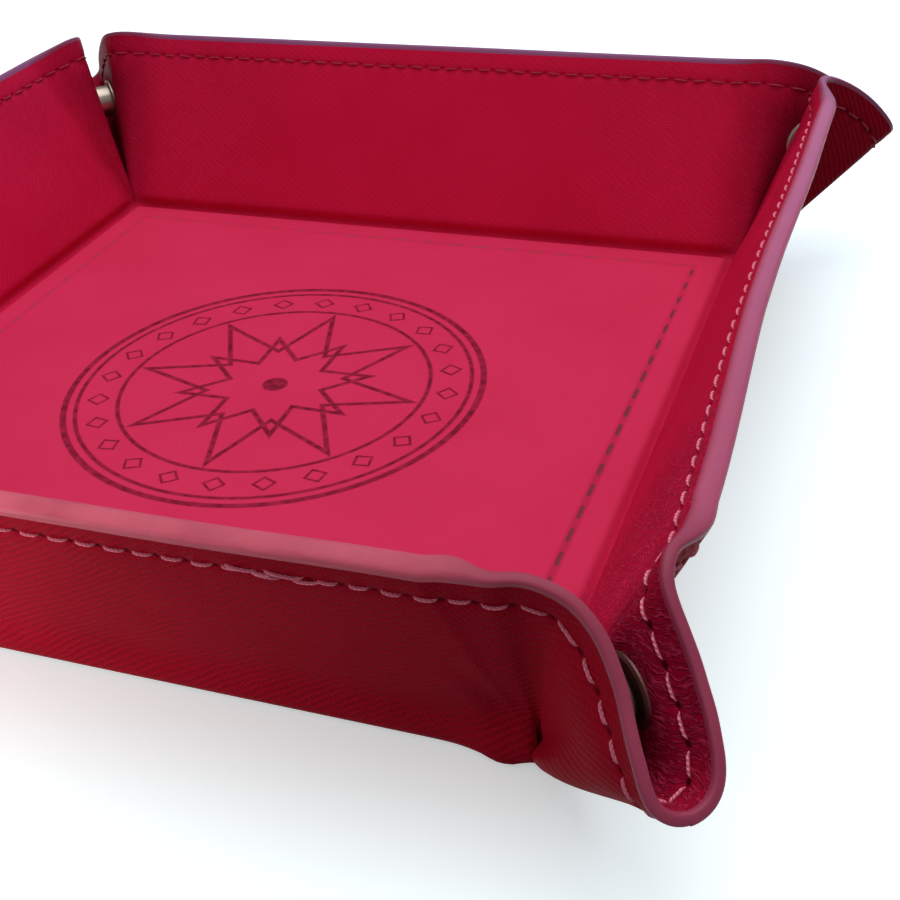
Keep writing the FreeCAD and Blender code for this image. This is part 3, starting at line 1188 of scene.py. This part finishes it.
# Painted shade: the snap halves deep in the front right ear get a darker, duller copy of
# the nickel, for the shade they lie in.
pocket_snaps = ("front_right_snap_socket", "right_front_snap_stud")
for name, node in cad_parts.items():
    if "_snap_" in name or name == "base_board":
        skin = shaded_nickel if name in pocket_snaps else nickel
        node.data.materials.clear()
        node.data.materials.append(fibre if name == "base_board" else skin)


# ---- floor, light and camera ----

# The floor is pale for the camera and in reflections, but throws little light up.
floor_size, floor_drop = 30, 0.0002
floor_pale, floor_paler = srgb(228, 248, 248), srgb(232, 252, 252)
floor_dim = srgb(92, 88, 90)
floor_glow = 0.42
floor_graph = Graph("floor")
path = floor_graph.nodes.new("ShaderNodeLightPath")
seen = Wire(floor_graph, path.outputs["Is Camera Ray"])
mirrored_ray = Wire(floor_graph, path.outputs["Is Glossy Ray"])
shown = floor_graph.math("MAXIMUM", seen, mirrored_ray)
mottled = floor_graph.noise(floor_graph.place(), 3, 2)
pale = floor_graph.mix(mottled, floor_pale, floor_paler)
floor_graph.set(Base_Color=floor_graph.mix(shown, floor_dim, pale), Roughness=0.9,
                Emission_Strength=shown * floor_glow)
floor_graph.shader.inputs["Emission Color"].default_value = (1, 1, 1, 1)
bpy.ops.mesh.primitive_plane_add(size=floor_size, location=(0, 0, -floor_drop))
floor = bpy.context.object
floor.name = "floor"
floor.data.materials.append(floor_graph.material)

# The room is brighter overhead, and white where the camera sees it.
sky_colour = (0.95, 0.96, 1.0, 1)
sky_level, sky_overhead, sky_top = 0.12, 0.52, 0.9
world = bpy.data.worlds.new("studio")
scene.world = world
world.use_nodes = True
world.node_tree.nodes["Background"].inputs["Color"].default_value = sky_colour
sky = world.node_tree.nodes.new("ShaderNodeTexCoord")
height = world.node_tree.nodes.new("ShaderNodeSeparateXYZ")
fade = world.node_tree.nodes.new("ShaderNodeMapRange")
for name, value in (("From Min", 0.0), ("From Max", sky_top),
                    ("To Min", sky_level), ("To Max", sky_overhead)):
    fade.inputs[name].default_value = value
links = world.node_tree.links
links.new(sky.outputs["Generated"], height.inputs[0])
links.new(height.outputs["Z"], fade.inputs["Value"])
ray = world.node_tree.nodes.new("ShaderNodeLightPath")
strength = world.node_tree.nodes.new("ShaderNodeMath")
strength.operation = "MAXIMUM"
links.new(fade.outputs[0], strength.inputs[0])
links.new(ray.outputs["Is Camera Ray"], strength.inputs[1])
links.new(strength.outputs[0], world.node_tree.nodes["Background"].inputs["Strength"])

key_strength = 1.6
key_softness, key_tilt, key_roll = math.radians(56), math.radians(-10), math.radians(4)
key_data = bpy.data.lights.new("key", "SUN")
key_data.energy = key_strength
key_data.angle = key_softness
key = bpy.data.objects.new("key", key_data)
key.rotation_euler = (key_tilt, key_roll, 0)
scene.collection.objects.link(key)


def soft_lamp(name, position, aim, size, watts, spread, colour):
    data = bpy.data.lights.new(name, "AREA")
    data.size, data.energy, data.color = size, watts, colour
    data.spread = math.radians(spread)
    lamp = bpy.data.objects.new(name, data)
    lamp.location = position
    ahead = Vector(aim) - Vector(position)
    lamp.rotation_euler = ahead.to_track_quat("-Z", "Y").to_euler()
    lamp.visible_camera = False
    scene.collection.objects.link(lamp)


soft_lamp("side", (-0.075, -0.165, 0.035), (-0.03, -0.085, 0.032), 0.06, 0.037, 80,
          (1.0, 0.94, 0.9))
soft_lamp("rear", (0.14, 0.34, 0.15), (0.03, 0.05, 0.03), 0.15, 0.1, 120, (0.4, 0.5, 1.0))

azimuth, elevation, roll = math.radians(22.0), math.radians(32.9), math.radians(-4.4)
camera_lens, camera_distance = 55.75, 0.24034
target = Vector((0.03995, -0.01336, 0.0031))
back = Vector((math.sin(azimuth) * math.cos(elevation),
               -math.cos(azimuth) * math.cos(elevation), math.sin(elevation)))
right = Vector((math.cos(azimuth), math.sin(azimuth), 0))
upward = back.cross(right)
level = right * math.cos(roll) + upward * math.sin(roll)
upright = upward * math.cos(roll) - right * math.sin(roll)
camera_data = bpy.data.cameras.new("camera")
camera_data.lens = camera_lens
camera_data.clip_start = 0.01
camera = bpy.data.objects.new("camera", camera_data)
stand = Matrix((level, upright, back)).transposed().to_4x4()
stand.translation = target + back * camera_distance
camera.matrix_world = stand
scene.collection.objects.link(camera)
scene.camera = camera
